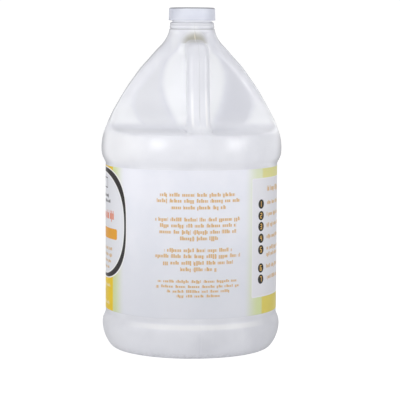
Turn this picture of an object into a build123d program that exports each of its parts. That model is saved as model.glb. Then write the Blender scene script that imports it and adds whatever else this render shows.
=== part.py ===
from build123d import *
import os

# One-gallon round handle jug with a 38-400 screw neck, a lined screw cap and a wrap label (mm).
# Origin: centre of the base on the standing plane, +Z up, handle toward -Y, called the front.

# ---------------------------------------------------------------- sizes
wall = 0.9                 # moulded wall of the jug
panel_r = 74.9             # label panel
panel_z0 = 31.5
panel_z1 = 161.0
bead_r = 78.6              # shoulder bead, the widest place

neck_root_r = 17.4         # 38-400 finish: E / 2
thread_r = 18.6            # 38-400 finish: T / 2
bore_r = 15.2
bore_z0 = 284.0
bore_z1 = 290.0            # top of the inside solid, short of the lip
mouth_z0 = 289.0           # the mouth cut overlaps the bore and clears the lip
mouth_depth = 10.0
ring_r = 19.2              # transfer bead under the finish
ring_z0 = 278.6
ring_z1 = 283.7
lip_z = 294.2

pitch = 4.2333             # 6 threads per inch, one start, right hand
thread_z0 = 286.6
thread_turns = 1.25
thread_sink = 0.25         # how far a ridge is buried in the surface that carries it

cap_r = 20.3
cap_z0 = 285.4
cap_z1 = 296.4
cap_top = 1.2              # thickness of the cap's top
cap_bore_r = 18.95
cap_crest_r = 17.75
cap_lead_in = 0.3          # chamfer at the mouth of the cap
cap_edge = 0.7             # chamfer round the top of the cap
cap_thread_z0 = 287.0
cap_thread_turns = 1.1

liner_r = 18.2

label_gap = 0.02
label_t = 0.12
label_z0 = 35.3
label_z1 = 160.2
overlap_half_w = 5.5       # half width of the overlap wedge, at wedge_reach from the axis
wedge_reach = 90

handle_w = 20.0            # width of the grip, across X
handle_round = 6.0
handle_wall = wall + 0.3
grip_front = 45            # the grip's long edges have their centres beyond this distance
grip_edge_min = 60         # and are longer than this

flank_angle = 8.0          # the pinched flanks fall back from the centre plane
pinch_reach = 110          # the pinch cutters run this far, well clear of the jug
inner_prow_drop = 0.6      # the inner pinch curves sit lower by these
inner_scoop_drop = 0.8
inner_pinch_rise = 2.0     # the inner cutters' tops stand above their curves

# ---------------------------------------------------------------- outlines of the round body
# Each pair is (radius, height).
foot = [(67.0, 0.0), (69.6, 1.4), (72.4, 4.6), (75.2, 10.0), (77.0, 16.0),
        (77.6, 21.5), (77.0, 26.0), (75.6, 29.6), (panel_r, panel_z0)]
ogive = [(panel_r, panel_z1), (75.9, 162.9), (77.4, 166.3), (78.4, 170.5), (bead_r, 175.5),
         (78.1, 181.5), (77.0, 187.2), (74.6, 194.0), (70.0, 204.5), (64.2, 215.0),
         (57.8, 225.8), (50.5, 236.4), (42.5, 247.0), (36.2, 253.9), (30.2, 260.8),
         (26.6, 264.5), (23.8, 268.0), (21.5, 272.0), (20.2, 275.6), (19.8, 278.2)]
neck = [ogive[-1], (18.8, 278.4), (ring_r, ring_z0), (ring_r, 283.0), (18.4, ring_z1),
        (neck_root_r, 283.9), (neck_root_r, 293.5), (16.8, lip_z), (0, lip_z)]
inner_floor = [(0, 6.1), (43.9, 6.1), (53.6, 4.7), (58.4, 1.0)]
inner_neck = [(17.6, 277.5), (16.2, 281.0)]
push_up = [(0, -1), (58.0, -1), (58.0, 0.0), (53.0, 3.6), (43.5, 5.0), (0, 5.0), (0, -1)]

# ---------------------------------------------------------------- side view curves
# Each pair is (distance in front of the axis, height).
# The prow is drawn on the slanted flank plane, the other curves on the centre plane.
prow = [(20.2, 275.6), (20.6, 268.0), (20.9, 258.0), (20.5, 246.0), (20.3, 232.0),
        (20.6, 222.0), (22.1, 211.5), (25.8, 201.5), (30.5, 196.2), (37.5, 193.0),
        (49.0, 191.3), (64.0, 190.3), (84.0, 189.3)]
scoop = [(19.8, 274.0), (19.4, 263.0), (18.2, 255.5), (17.0, 246.0), (16.5, 233.0),
         (17.0, 222.0), (19.0, 211.5), (23.4, 201.5), (28.6, 196.2), (36.0, 193.0),
         (48.0, 191.4), (64.0, 190.4), (84.0, 189.4)]
handle_front = [(20.5, 276.0), (24.0, 270.0), (31.0, 267.2), (41.0, 266.4),
                (49.0, 264.2), (53.6, 257.5), (55.2, 246), (57.0, 231),
                (59.2, 216), (61.6, 206.5), (64.8, 199.2), (69.4, 193.6), (75.2, 189.2)]
finger_hole = [(9.0, 232), (11.0, 243), (15.5, 251.5), (24.0, 255.5),
               (31.0, 252.5), (34.2, 244), (35.6, 232), (37.6, 221),
               (40.4, 211), (42.4, 203.8), (38.6, 198.8), (31.0, 197.6),
               (20.0, 201.0), (11.0, 212.0)]

# Its x axis points forward and its z axis is the direction of the +X flank.
flank_plane = Plane(origin=(0, 0, 0),
                    x_dir=Vector(-1, 0, 0).rotate(Axis.Z, 90 + flank_angle),
                    z_dir=Vector(-1, 0, 0).rotate(Axis.Z, flank_angle))


# ---------------------------------------------------------------- curve helpers
def shift(points, forward, up):
    return [(f + forward, z + up) for f, z in points]


def offset_curve(points, distance, closed=False):
    """Move each point by distance to the left of the direction of travel."""
    count = len(points)
    moved = []
    for i, (f, z) in enumerate(points):
        if closed:
            before, after = points[i - 1], points[(i + 1) % count]
        else:
            before, after = points[max(i - 1, 0)], points[min(i + 1, count - 1)]
        tangent = Vector(after[0] - before[0], after[1] - before[1]).normalized()
        moved.append((f - tangent.Y * distance, z + tangent.X * distance))
    return moved


def front(points):
    """Convert to the local frame of Plane.YZ, whose x axis is +Y."""
    return [(-f, z) for f, z in points]


def pinch_border(curve, rise):
    """Corners that close a pinch curve on its front side, from its end to its start."""
    start, end = curve[0], curve[-1]
    top_z = start[1] + rise
    corners = [end, (pinch_reach, end[1]), (pinch_reach, top_z)]
    if rise:
        corners.append((start[0], top_z))
    return corners + [start]


# ---------------------------------------------------------------- solids of the jug
def make_pinch(prow_curve, scoop_curve, rise=0):
    """Cutter for the front pinch: two slanted flanks and a straight scoop across X."""
    with BuildPart() as pinch:
        with BuildSketch(flank_plane):
            with BuildLine():
                Spline(*prow_curve)
                Polyline(*pinch_border(prow_curve, rise))
            make_face()
        extrude(amount=pinch_reach, both=True)
        split(bisect_by=Plane.YZ, keep=Keep.TOP)
        mirror(about=Plane.YZ)
        with BuildSketch(Plane.YZ):
            with BuildLine():
                Spline(*front(scoop_curve))
                Polyline(*front(pinch_border(scoop_curve, rise)))
            make_face()
        extrude(amount=pinch_reach, both=True)
    return pinch.part


def make_handle(front_curve, hole_curve, width, rounding, root, heel_z):
    """Handle rooted at distance root from the axis, its lower front corner at heel_z."""
    with BuildPart() as handle:
        with BuildSketch(Plane.YZ):
            with BuildLine():
                Spline(*front(front_curve))
                Polyline(*front([front_curve[-1], (60.0, heel_z), (root, 190.0),
                                 (root, front_curve[0][1]), front_curve[0]]))
            make_face()
        extrude(amount=width / 2, both=True)
        # only the two long edges down the front of the grip
        fillet([e for e in handle.edges()
                if abs(abs(e.center().X) - width / 2) < 0.01
                and e.center().Y < -grip_front and e.length > grip_edge_min], rounding)
        with BuildSketch(Plane.YZ):
            with BuildLine():
                Spline(*front(hole_curve), periodic=True)
            make_face()
        extrude(amount=handle_w, both=True, mode=Mode.SUBTRACT)
    return handle.part


def make_thread(root_r, crest_r, base_z, turns, root_offset, root_half, crest_half):
    """Helical ridge; root_half and crest_half are half its width at root and crest."""
    crest = crest_r - root_r
    with BuildPart() as thread:
        with BuildLine() as helix:
            Helix(pitch=pitch, height=pitch * turns, radius=root_r, center=(0, 0, base_z))
        with BuildSketch(Plane(origin=helix.line @ 0, x_dir=(1, 0, 0),
                               z_dir=helix.line % 0)):
            with BuildLine():
                Polyline((root_offset, -root_half), (crest, -crest_half),
                         (crest, crest_half), (root_offset, root_half), close=True)
            make_face()
        sweep(path=helix.line, is_frenet=True)
    return thread.part


def make_outside():
    """Round body and neck, solid."""
    with BuildPart() as outside:
        with BuildSketch(Plane.XZ):
            with BuildLine():
                Polyline((0, 0), foot[0])
                Spline(*foot)
                Line(foot[-1], ogive[0])
                Spline(*ogive)
                Polyline(*neck, (0, 0))
            make_face()
        revolve(axis=Axis.Z)
    return outside.part


def make_inside():
    """The hollow of the jug as a solid, with the pinch taken out and the handle added."""
    pinch = make_pinch(shift(prow, -wall, -inner_prow_drop),
                       shift(scoop, -wall, -inner_scoop_drop), rise=inner_pinch_rise)
    handle = make_handle(offset_curve(handle_front, -handle_wall),
                         offset_curve(finger_hole, handle_wall, closed=True),
                         width=handle_w - 2 * handle_wall,
                         rounding=handle_round - handle_wall, root=9.5, heel_z=182.0)
    inner_foot = offset_curve(foot, wall)
    inner_ogive = offset_curve(ogive[:-2], wall) + inner_neck
    with BuildPart() as inside:
        with BuildSketch(Plane.XZ):
            with BuildLine():
                Polyline(*inner_floor, inner_foot[0])
                Spline(*inner_foot)
                Line(inner_foot[-1], inner_ogive[0])
                Spline(*inner_ogive)
                Polyline(inner_ogive[-1], (bore_r, bore_z0), (bore_r, bore_z1),
                         (0, bore_z1), inner_floor[0])
            make_face()
        revolve(axis=Axis.Z)
        add(pinch, mode=Mode.SUBTRACT)
        add(handle)
    return inside.part


# ---------------------------------------------------------------- the four pieces
def make_jug_body():
    outside = make_outside()
    pinch = make_pinch(prow, scoop)
    handle = make_handle(handle_front, finger_hole, width=handle_w,
                         rounding=handle_round, root=8.0, heel_z=184.0)
    thread = make_thread(neck_root_r, thread_r, thread_z0, thread_turns,
                         root_offset=-thread_sink, root_half=1.25, crest_half=0.5)
    inside = make_inside()
    with BuildPart() as jug:
        add(outside)
        add(pinch, mode=Mode.SUBTRACT)
        add(handle)
        add(thread)
        add(inside, mode=Mode.SUBTRACT)
        # mouth
        with BuildSketch(Plane.XY.offset(mouth_z0)):
            Circle(bore_r)
        extrude(amount=mouth_depth, mode=Mode.SUBTRACT)
        # base push-up, leaving a flat standing ring
        with BuildSketch(Plane.XZ):
            with BuildLine():
                Polyline(*push_up)
            make_face()
        revolve(axis=Axis.Z, mode=Mode.SUBTRACT)
    return jug.part


def make_screw_cap():
    # turned so that its ridge runs midway between the turns of the neck thread
    phase = (cap_thread_z0 - thread_z0 + pitch / 2) / pitch * 360.0
    thread = make_thread(cap_bore_r, cap_crest_r, cap_thread_z0, cap_thread_turns,
                         root_offset=thread_sink, root_half=1.15, crest_half=0.45)
    ceiling_z = cap_z1 - cap_top
    with BuildPart() as cap:
        with BuildSketch(Plane.XZ):
            with BuildLine():
                Polyline((0, ceiling_z), (cap_bore_r, ceiling_z),
                         (cap_bore_r, cap_z0 + cap_lead_in),
                         (cap_bore_r + cap_lead_in, cap_z0), (cap_r, cap_z0),
                         (cap_r, cap_z1 - cap_edge), (cap_r - cap_edge, cap_z1),
                         (0, cap_z1), (0, ceiling_z))
            make_face()
        revolve(axis=Axis.Z)
        add(thread.rotate(Axis.Z, phase))
    return cap.part


def make_cap_liner():
    """Disc that fills the space between the lip and the cap's top."""
    with BuildPart() as liner:
        with BuildSketch(Plane.XY.offset(lip_z)):
            Circle(liner_r)
        extrude(amount=cap_z1 - cap_top - lip_z)
    return liner.part


def make_wrap_label():
    inner_r = panel_r + label_gap
    height = label_z1 - label_z0
    with BuildPart() as label:
        with BuildSketch(Plane.XY.offset(label_z0)):
            Circle(inner_r + label_t)
            Circle(inner_r, mode=Mode.SUBTRACT)
        extrude(amount=height)
        # glued overlap down the back, starting inside the first layer
        with BuildSketch(Plane.XY.offset(label_z0)):
            Circle(inner_r + 2 * label_t)
            Circle(inner_r + label_t / 2, mode=Mode.SUBTRACT)
            with BuildLine():
                Polyline((0, 0), (-overlap_half_w, wedge_reach),
                         (overlap_half_w, wedge_reach), close=True)
            make_face(mode=Mode.INTERSECT)
        extrude(amount=height)
    return label.part


pieces = {
    "jug_body": make_jug_body(),
    "screw_cap": make_screw_cap(),
    "cap_liner": make_cap_liner(),
    "wrap_label": make_wrap_label(),
}

os.makedirs("parts", exist_ok=True)
for name, piece in pieces.items():
    piece.label = name
    export_step(piece, f"parts/{name}.step")
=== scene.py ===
"""A blow-moulded jug with a screw cap, a foam liner and a printed wrap label, in a white studio.

The jug stands near z = 0 with its axis on +Z. The grip faces the front (-Y), the parting line
lies in the plane x = 0, and the label laps over itself behind (+Y). Shapes are worked out in
millimetres and made in metres; angles run round +Z from +X unless a comment says otherwise.
"""
import math
import bmesh
import bpy
import numpy as np
from mathutils import Vector, Matrix


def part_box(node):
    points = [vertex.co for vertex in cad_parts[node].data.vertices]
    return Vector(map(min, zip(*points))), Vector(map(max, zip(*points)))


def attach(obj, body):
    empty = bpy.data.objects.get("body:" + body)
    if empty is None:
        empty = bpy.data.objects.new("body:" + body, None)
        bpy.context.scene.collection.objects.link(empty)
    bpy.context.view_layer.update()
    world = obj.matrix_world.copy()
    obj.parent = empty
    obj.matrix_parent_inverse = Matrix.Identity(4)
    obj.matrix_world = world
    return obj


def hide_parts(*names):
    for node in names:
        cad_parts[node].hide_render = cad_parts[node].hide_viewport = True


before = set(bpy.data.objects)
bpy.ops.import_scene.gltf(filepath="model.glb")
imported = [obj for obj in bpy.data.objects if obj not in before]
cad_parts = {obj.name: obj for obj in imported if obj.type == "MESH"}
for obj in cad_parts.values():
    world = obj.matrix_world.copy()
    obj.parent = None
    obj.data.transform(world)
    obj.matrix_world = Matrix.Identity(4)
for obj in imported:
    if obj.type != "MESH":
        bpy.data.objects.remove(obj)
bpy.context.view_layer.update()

MM = 0.001
TURN = 2 * math.pi


# ------------------------------------------------------------------ sizes, mm
def cad_size(node):
    """Bottom, top and radius of a round CAD piece."""
    low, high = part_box(node)
    return low[2] * 1000.0, high[2] * 1000.0, high[0] * 1000.0


LABEL_BASE, LABEL_TOP, LABEL_R = cad_size("wrap_label")
CAP_BASE, CAP_TOP, CAP_R = cad_size("screw_cap")
LINER_BASE, LINER_TOP, LINER_R = cad_size("cap_liner")
WALL = 0.9
BASE_Z = 5.0                  # underside of the pushed-up base
Z_TOP = 277.0                 # top of the grid; the neck is turned above it
SEAM_WIDTH = 0.42             # of the ridge on the parting line
SEAM_RISE_NECK = 0.2
FLANK = math.radians(8.0)     # slant of the pinched flanks
GRIP_HALF = 9.6               # half the grip's width in x
GRIP_ROUND = 6.5              # radius of its corners
THREAD_PITCH = 4.2333
NECK_THREAD_Z = 286.6         # where each thread starts
CAP_THREAD_Z = 287.0
THREAD_STEP = 0.27            # height between rings along a thread

# Body outline: (radius, z)
PUSH_UP = [(0, BASE_Z), (42.0, BASE_Z), (44.5, 4.85), (47.0, 4.5), (52.5, 3.2), (55.5, 2.2)]
FOOT = [(57.6, 0.9), (58.6, 0.25), (60.2, 0.0), (63.5, 0.0), (66.5, 0.1), (69.3, 1.3),
        (72.3, 4.6), (75.2, 10.0), (77.0, 16.0), (77.6, 21.5), (77.0, 26.0), (75.7, 29.3),
        (74.95, 31.2)]
PANEL = [(74.9, 32.2), (74.9, 100.0)]
SHOULDER = [(74.9, 162.0), (75.6, 163.6), (77.2, 166.6), (78.3, 170.5), (78.6, 175.5),
            (78.1, 181.5), (77.0, 187.2), (74.6, 194.0), (70.0, 204.5), (64.2, 215.0),
            (57.8, 225.8), (50.5, 236.4), (42.5, 247.0), (36.2, 253.9), (30.2, 260.8),
            (26.6, 264.5), (23.8, 268.0), (21.5, 272.0), (20.2, 275.6), (19.8, 278.2)]
# Cuts round the grip: (distance in front of the axis, z)
PROW = [(20.2, 275.6), (20.6, 268.0), (20.9, 258.0), (20.5, 246.0), (20.3, 232.0),
        (20.6, 222.0), (22.1, 211.5), (25.8, 201.5), (30.5, 196.2), (37.5, 193.0),
        (49.0, 191.3), (64.0, 190.3), (84.0, 189.3)]
SCOOP = [(19.8, 274.0), (19.4, 263.0), (18.2, 255.5), (17.0, 246.0), (16.5, 233.0),
         (17.0, 222.0), (19.0, 211.5), (23.4, 201.5), (28.6, 196.2), (36.0, 193.0),
         (48.0, 191.4), (64.0, 190.4), (84.0, 189.4)]
# Outer edge of the grip, and the finger hole: (distance in front of the axis, z)
GRIP = [(20.5, 276.0), (24.0, 270.0), (31.0, 267.2), (41.0, 266.4), (49.0, 264.2),
        (53.6, 257.5), (55.2, 246), (57.0, 231), (59.2, 216), (61.6, 206.5), (64.8, 199.2),
        (69.4, 193.6), (75.2, 189.2)]
HOLE = [(9.0, 232), (11.0, 243), (15.5, 251.5), (24.0, 255.5), (31.0, 252.5), (34.2, 244),
        (35.6, 232), (37.6, 221), (40.4, 211), (42.4, 203.8), (38.6, 198.8), (31.0, 197.6),
        (20.0, 201.0), (11.0, 212.0)]
# Neck below the thread: (radius, z, 1 where the parting line shows)
NECK = [(19.84, 277.4, 0), (19.7, 277.9, 0), (19.2, 278.2, 0), (18.75, 278.35, 0),
        (18.72, 278.5, 0), (18.95, 278.7, 1), (19.18, 278.95, 1), (19.32, 279.5, 1),
        (19.36, 280.1, 1), (19.3, 280.7, 1), (19.16, 281.1, 1), (19.06, 281.4, 1),
        (19.1, 281.75, 1), (19.2, 282.1, 1), (19.2, 282.8, 1), (19.1, 283.15, 1),
        (18.75, 283.5, 1), (18.3, 283.72, 1), (17.8, 283.82, 0), (17.5, 283.95, 0)]
# Over the lip and down the bore: (radius, z)
LIP = [(17.4, 293.55), (17.3, 293.85), (17.05, 294.1), (16.7, 294.2), (15.7, 294.2),
       (15.4, 294.1), (15.22, 293.8), (15.2, 293.0), (15.2, 290.0), (15.2, 287.0),
       (15.2, 284.6), (15.35, 283.6), (15.9, 282.0), (16.7, 280.4), (17.6, 278.9),
       (18.4, 277.9), (18.85, 277.1)]


# ---------------------------------------------------------- curves and fields
def spline(points, step=0.5):
    """Natural cubic through 2D points on chord length, sampled about every step mm."""
    points = np.asarray(points, float)
    count = len(points)
    gap = np.linalg.norm(np.diff(points, axis=0), axis=1)
    chord = np.concatenate([[0], np.cumsum(gap)])
    gap = np.diff(chord)
    matrix = np.zeros((count, count))
    right = np.zeros((count, 2))
    matrix[0, 0] = matrix[-1, -1] = 1.0
    for i in range(1, count - 1):
        matrix[i, i - 1:i + 2] = gap[i - 1], 2 * (gap[i - 1] + gap[i]), gap[i]
        right[i] = 6 * ((points[i + 1] - points[i]) / gap[i]
                        - (points[i] - points[i - 1]) / gap[i - 1])
    bend = np.linalg.solve(matrix, right)
    along = np.linspace(0, chord[-1], max(3, int(chord[-1] / step)))
    k = np.clip(np.searchsorted(chord, along) - 1, 0, count - 2)
    past = (along - chord[k])[:, None]
    ahead = (chord[k + 1] - along)[:, None]
    width = gap[k][:, None]
    return (bend[k] * ahead ** 3 / (6 * width) + bend[k + 1] * past ** 3 / (6 * width)
            + (points[k] / width - bend[k] * width / 6) * ahead
            + (points[k + 1] / width - bend[k + 1] * width / 6) * past)


def closed_spline(points):
    """One round of a spline that overruns its first point at both ends."""
    curve = spline(points[-4:] + points + points[:4])
    away = np.linalg.norm(curve - np.array(points[0]), axis=1)
    half = len(curve) // 2
    return curve[int(np.argmin(away[:half])):half + int(np.argmin(away[half:]))]


class OutlineField:
    """Signed distance (negative inside) to a closed 2D outline, read bilinearly from a grid."""

    def __init__(self, outline, low, high, step):
        self.low = np.array(low, float)
        self.step = step
        shape = [int(round((b - a) / step)) + 1 for a, b in zip(low, high)]
        x, y = np.meshgrid(low[0] + np.arange(shape[0]) * step,
                           low[1] + np.arange(shape[1]) * step, indexing="ij")
        x, y = x.ravel(), y.ravel()
        start = np.asarray(outline, float)
        end = np.roll(start, -1, axis=0)
        keep = np.linalg.norm(end - start, axis=1) > 1e-9
        nearest = np.full(x.shape, 1e9)
        inside = np.zeros(x.shape, bool)
        for (x0, y0), (x1, y1) in zip(start[keep], end[keep]):
            run, rise = x1 - x0, y1 - y0
            part = ((x - x0) * run + (y - y0) * rise) / (run * run + rise * rise)
            part = np.clip(part, 0, 1)
            dx, dy = x - x0 - part * run, y - y0 - part * rise
            np.minimum(nearest, dx * dx + dy * dy, out=nearest)
            if y0 != y1:
                inside ^= ((y0 > y) != (y1 > y)) & (x < x0 + (y - y0) * run / rise)
        distance = np.sqrt(nearest)
        self.values = np.where(inside, -distance, distance).reshape(shape)

    def __call__(self, x, y):
        u = (x - self.low[0]) / self.step
        v = (y - self.low[1]) / self.step
        values = self.values
        i = np.clip(u.astype(int), 0, values.shape[0] - 2)
        j = np.clip(v.astype(int), 0, values.shape[1] - 2)
        u = np.clip(u - i, 0, 1)
        v = np.clip(v - j, 0, 1)
        return ((values[i, j] * (1 - u) + values[i + 1, j] * u) * (1 - v)
                + (values[i, j + 1] * (1 - u) + values[i + 1, j + 1] * u) * v)


def smooth_max(a, b, blend):
    h = np.clip(0.5 + 0.5 * (a - b) / blend, 0, 1)
    return b + (a - b) * h + blend * h * (1 - h)


def smooth_min(a, b, blend):
    return -smooth_max(-a, -b, blend)


def ease(value, start, end):
    """Smooth step from 0 at start to 1 at end."""
    t = np.clip((value - start) / (end - start), 0, 1)
    return t * t * (3 - 2 * t)


def cut_field(points, outer_z):
    """Region in front of and above a cut; outer_z is the height of its far corner."""
    rest = [(130, outer_z), (130, 300), (points[0][0], 300)]
    return OutlineField(np.vstack([spline(points), rest]), (0, 150), (120, 282), 0.75)


shoulder_curve = spline(SHOULDER, 0.4)
body_side = OutlineField(np.vstack([PUSH_UP, spline(FOOT, 0.4), PANEL, shoulder_curve,
                                    [(19.8, 300), (0, 300)]]), (0, -3), (84, 282), 0.5)
prow_side = cut_field(PROW, 187.0)
scoop_side = cut_field(SCOOP, 187.2)
grip_side = OutlineField(np.vstack([spline(GRIP), [(60, 180), (4, 186), (4, 276)]]),
                         (0, 150), (92, 286), 0.5)
hole_side = OutlineField(closed_spline(HOLE), (0, 180), (92, 286), 0.5)


def flank_cut(x, y, z):
    slanted = np.sqrt(x * x + 1.0) * math.sin(FLANK) - y * math.cos(FLANK)
    return prow_side(np.clip(slanted, 0, 119.9), z)


def scoop_cut(y, z):
    return scoop_side(np.clip(-y, 0, 119.9), z)


def grip_and_hole(y, z):
    front = np.clip(-y, 0, 91.9)
    return grip_side(front, z), hole_side(front, z)


def cut_and_grip(x, y, z, body):
    """The body field with the flanks and scoop cut away and the grip joined on."""
    cut = smooth_max(body, -flank_cut(x, y, z), 3.0 + 6.0 * ease(z, 193, 206))
    cut = smooth_max(cut, -scoop_cut(y, z), 1.2)
    # the grip is a flattened tube, rounded all round
    grip, hole = grip_and_hole(y, z)
    a = smooth_max(grip, -hole, 3.0) + GRIP_ROUND
    b = np.abs(x) - GRIP_HALF + GRIP_ROUND
    tube = (np.sqrt(np.maximum(a, 0) ** 2 + np.maximum(b, 0) ** 2)
            + np.minimum(np.maximum(a, b), 0) - GRIP_ROUND)
    # the fillet is widest at the foot of the grip
    fillet = (4.0 + 5.0 * ease(z, 190.5, 194) * (1 - ease(z, 200, 212))
              + 1.0 * ease(z, 205, 214) - 2.0 * ease(z, 262, 268))
    joined = smooth_min(cut, tube, fillet)
    neck = ease(z, 273.6, 276.6)
    return joined * (1 - neck) + body * neck


def jug_field(x, y, z, with_seam):
    """Signed distance in mm, about true near the surface."""
    radius = np.sqrt(x * x + y * y)
    field = body_side(radius, z)
    near = (z > 183) & (y < 12)
    field[near] = cut_and_grip(x[near], y[near], z[near], field[near])
    if with_seam:
        off_panel = 1 - ease(z, 29.5, 33.0) * (1 - ease(z, 158.5, 162.0))
        rise = np.where(z > 35, 0.06 + 0.20 * ease(z, 188, 193), 0.14)
        field = field - rise * np.exp(-(x / SEAM_WIDTH) ** 2) * ease(radius, 8, 14) * off_panel
    return field


# ---------------------------------------------------------- cylindrical grid
def grow(values, step, limit):
    while values[-1] < limit:
        values.append(values[-1] + step)


def grid_angles():
    """Angles of the grid, fine by the parting line in front and behind."""
    front = [0.2, 0.62, 1.1, 1.65, 2.3, 3.1]
    grow(front, 0.85, 24)
    grow(front, 1.4, 90)
    front = np.array(front)
    front = front * 90.0 / front[-1]
    rear = [0.2, 0.62, 1.1, 1.7, 2.5, 3.5]
    grow(rear, 1.5, 88)
    rear = np.array(rear)
    return np.radians(np.concatenate([-front[::-1] - 90.0, front - 90.0,
                                      -rear[::-1] + 90.0, rear + 90.0]))


def spaced(start, end, step):
    """Even values from start up to, but not including, end."""
    count = max(1, int(round((end - start) / step)))
    return list(start + (end - start) * np.arange(count) / count)


ANGLES = grid_angles()
RADII = np.array(spaced(6.0, 16.0, 2.0) + [16.0, 17.3, 18.4, 19.5] + spaced(20.7, 62.0, 1.3)
                 + spaced(62.0, 80.6, 0.9) + [80.6])
# (start of a height range, its spacing); each range ends where the next starts
HEIGHT_STEPS = [(-1.4, 0.9), (8.0, 1.4), (26.0, 0.8), (34.0, 4.0), (158.0, 0.7), (166.0, 1.4),
                (186.0, 0.8), (200.0, 1.3), (262.0, 0.9), (Z_TOP, None)]
HEIGHTS = np.array([z for (start, step), (end, _) in zip(HEIGHT_STEPS, HEIGHT_STEPS[1:])
                    for z in spaced(start, end, step)] + [Z_TOP])
ANGLES_ROUND = np.concatenate([ANGLES, [ANGLES[0] + TURN]])
MID_ANGLES = 0.5 * (ANGLES + ANGLES_ROUND[1:])


def surface_nets(field):
    """Points, quads and (angle, radius, height) cells of the zero surface on the grid."""
    count, radii, heights = field.shape
    field = np.concatenate([field, field[:1]], axis=0)
    neg = field < 0
    corners = [(i, j, k) for i in (0, 1) for j in (0, 1) for k in (0, 1)]
    below = sum(neg[i:count + i, j:radii - 1 + j, k:heights - 1 + k].astype(np.int8)
                for i, j, k in corners)
    active = (below > 0) & (below < 8)
    cells = np.nonzero(active)
    cell_i, cell_j, cell_k = cells
    total = len(cell_i)
    ids = np.full(active.shape, -1, np.int32)
    ids[cells] = np.arange(total)
    values = np.empty((total, 2, 2, 2))
    for i, j, k in corners:
        values[:, i, j, k] = field[cell_i + i, cell_j + j, cell_k + k]
    # each vertex is the mean of the crossings on its cell's twelve edges
    place = np.zeros((total, 3))
    hits = np.zeros(total)
    for axis in range(3):
        across = [d for d in range(3) if d != axis]
        for u, v in ((0, 0), (0, 1), (1, 0), (1, 1)):
            near = [0, 0, 0]
            near[across[0]], near[across[1]] = u, v
            far = list(near)
            far[axis] = 1
            start, end = values[(..., *near)], values[(..., *far)]
            hit = (start < 0) != (end < 0)
            point = np.zeros((total, 3))
            point[:, across[0]], point[:, across[1]] = u, v
            point[:, axis] = np.where(hit, start / np.where(hit, start - end, 1), 0)
            place += np.where(hit[:, None], point, 0)
            hits += hit
    place /= hits[:, None]
    angle, radius, z = [line[c] + place[:, a] * (line[c + 1] - line[c])
                        for a, (line, c) in enumerate(zip((ANGLES_ROUND, RADII, HEIGHTS), cells))]
    quads = []

    def emit(a, b, c, d, flip):
        quad = np.stack([a, b, c, d], axis=1)
        quad[flip] = quad[flip][:, ::-1]
        quads.append(quad)

    # edges along the radius
    i, j, k = np.nonzero(neg[:count, :-1, 1:-1] != neg[:count, 1:, 1:-1])
    k = k + 1
    last = (i - 1) % count
    emit(ids[last, j, k - 1], ids[i, j, k - 1], ids[i, j, k], ids[last, j, k], ~neg[i, j, k])
    # edges along the angle
    i, j, k = np.nonzero(neg[:count, 1:-1, 1:-1] != neg[1:count + 1, 1:-1, 1:-1])
    j, k = j + 1, k + 1
    emit(ids[i, j - 1, k - 1], ids[i, j - 1, k], ids[i, j, k], ids[i, j, k - 1], ~neg[i, j, k])
    # edges along z
    i, j, k = np.nonzero(neg[:count, 1:-1, :-1] != neg[:count, 1:-1, 1:])
    j = j + 1
    last = (i - 1) % count
    emit(ids[last, j - 1, k], ids[last, j, k], ids[i, j, k], ids[i, j - 1, k], ~neg[i, j, k])
    points = np.stack([radius * np.cos(angle), radius * np.sin(angle), z], axis=1)
    return points, np.vstack(quads), cells


def gradient(field, points, step=0.12):
    slope = np.empty_like(points)
    for axis in range(3):
        ahead = points.copy()
        ahead[:, axis] += step
        behind = points.copy()
        behind[:, axis] -= step
        slope[:, axis] = (field(ahead) - field(behind)) / (2 * step)
    return slope


def settle(points, field, rounds, fixed):
    """Pulls points onto the zero surface along its gradient."""
    for _ in range(rounds):
        value = field(points)
        slope = gradient(field, points)
        move = np.clip(value / np.maximum((slope * slope).sum(1), 0.05), -0.8, 0.8)
        move[fixed] = 0
        points = points - slope * move[:, None]
    return points


def relax(points, quads, field, rounds, fixed, weight=0.5):
    """Evens the mesh: moves points toward their neighbours' mean, within the surface."""
    start = quads.ravel()
    end = np.roll(quads, -1, axis=1).ravel()
    count = len(points)
    for _ in range(rounds):
        total = np.zeros_like(points)
        neighbours = np.zeros(count)
        for u, v in ((start, end), (end, start)):
            for axis in range(3):
                total[:, axis] += np.bincount(u, weights=points[v, axis], minlength=count)
            neighbours += np.bincount(u, minlength=count)
        move = total / np.maximum(neighbours, 1)[:, None] - points
        normal = gradient(field, points)
        normal /= np.maximum(np.linalg.norm(normal, axis=1), 1e-6)[:, None]
        move -= normal * (move * normal).sum(1)[:, None]
        move[fixed] = 0
        points = settle(points + move * weight, field, 1, fixed)
    return points


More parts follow.
